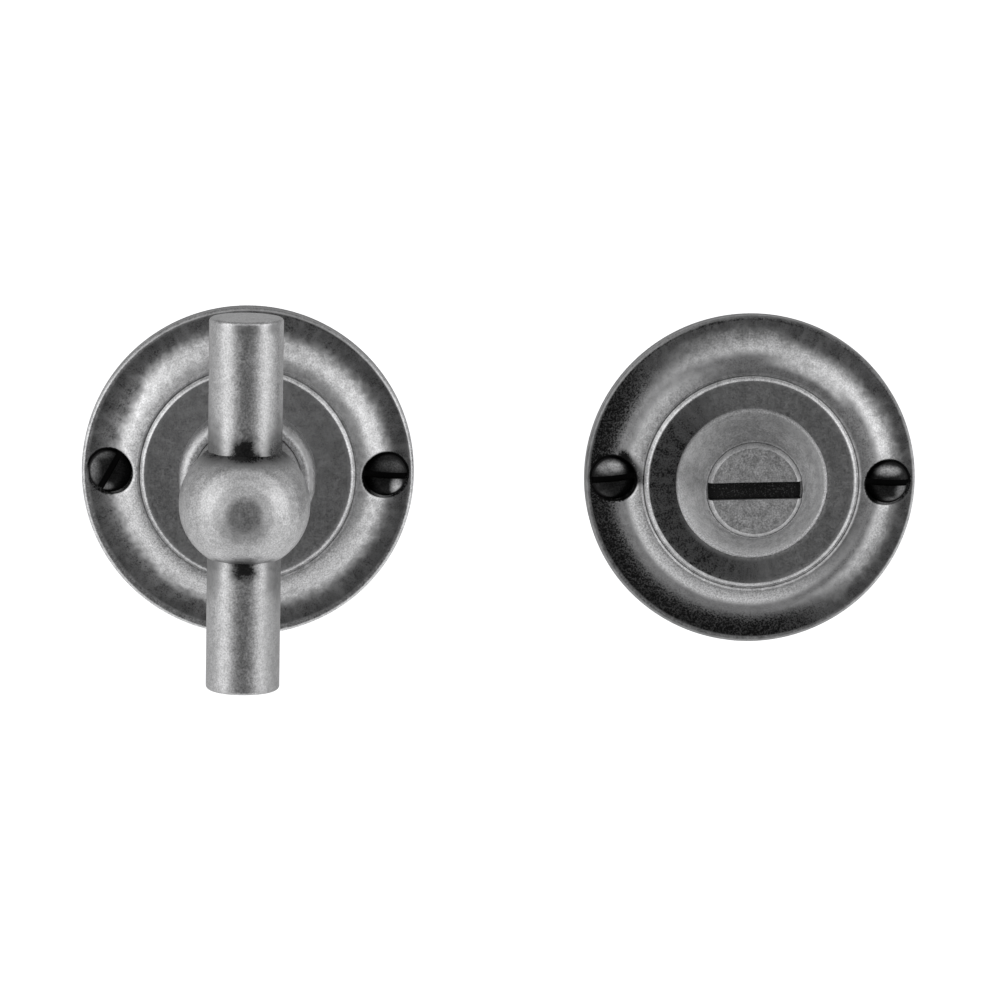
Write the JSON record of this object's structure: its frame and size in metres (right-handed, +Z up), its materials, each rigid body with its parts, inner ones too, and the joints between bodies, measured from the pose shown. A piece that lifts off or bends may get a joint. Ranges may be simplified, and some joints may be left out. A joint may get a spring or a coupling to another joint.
{
  "type": "bathroom thumb turn lock",
  "caption": "Bathroom thumb turn with a bar through a ball on a round dished rose, and its matching outside coin release, both on the door plane.",
  "frame": {"origin": "where the turn's spindle axis meets the door face, at the centre of the back of the turn's rose", "axes": "+Y along the spindle into the door, +Z up, +X right towards the release as seen from in front"},
  "size_m": [0.1257, 0.0967, 0.0548],
  "materials": {
    "aged_metal": "tumbled aged pewter plating with dark patina",
    "bright_steel": "plain steel",
    "blackened_steel": "blackened, slightly glossy",
    "bush_plastic": "natural nylon"
  },
  "bodies": {
    "roses": {"turn_rose": "aged_metal", "turn_collar": "aged_metal", "turn_bush": "bush_plastic", "turn_wave_washer": "bright_steel", "turn_thrust_washer": "bright_steel", "turn_screw_left": "blackened_steel", "turn_screw_right": "blackened_steel", "release_rose": "aged_metal", "release_boss": "aged_metal", "release_bush": "bush_plastic", "release_wave_washer": "bright_steel", "release_thrust_washer": "bright_steel", "release_screw_left": "blackened_steel", "release_screw_right": "blackened_steel"},
    "turn": {"turn_knob": "aged_metal", "cross_bar": "aged_metal", "spindle": "bright_steel", "spindle_pin": "bright_steel", "turn_retaining_ring": "bright_steel"},
    "release": {"release_button": "aged_metal", "release_retaining_ring": "bright_steel"}
  },
  "joints": [
    {"name": "turn_hinge", "type": "hinge", "parent": "roses", "child": "turn", "pos_m": [0, 0, 0], "axis": [0, 1, 0], "range_deg": [0, 90]},
    {"name": "release_hinge", "type": "hinge", "parent": "roses", "child": "release", "pos_m": [0.0757, 0, 0], "axis": [0, -1, 0], "range_deg": [0, 90]}
  ]
}
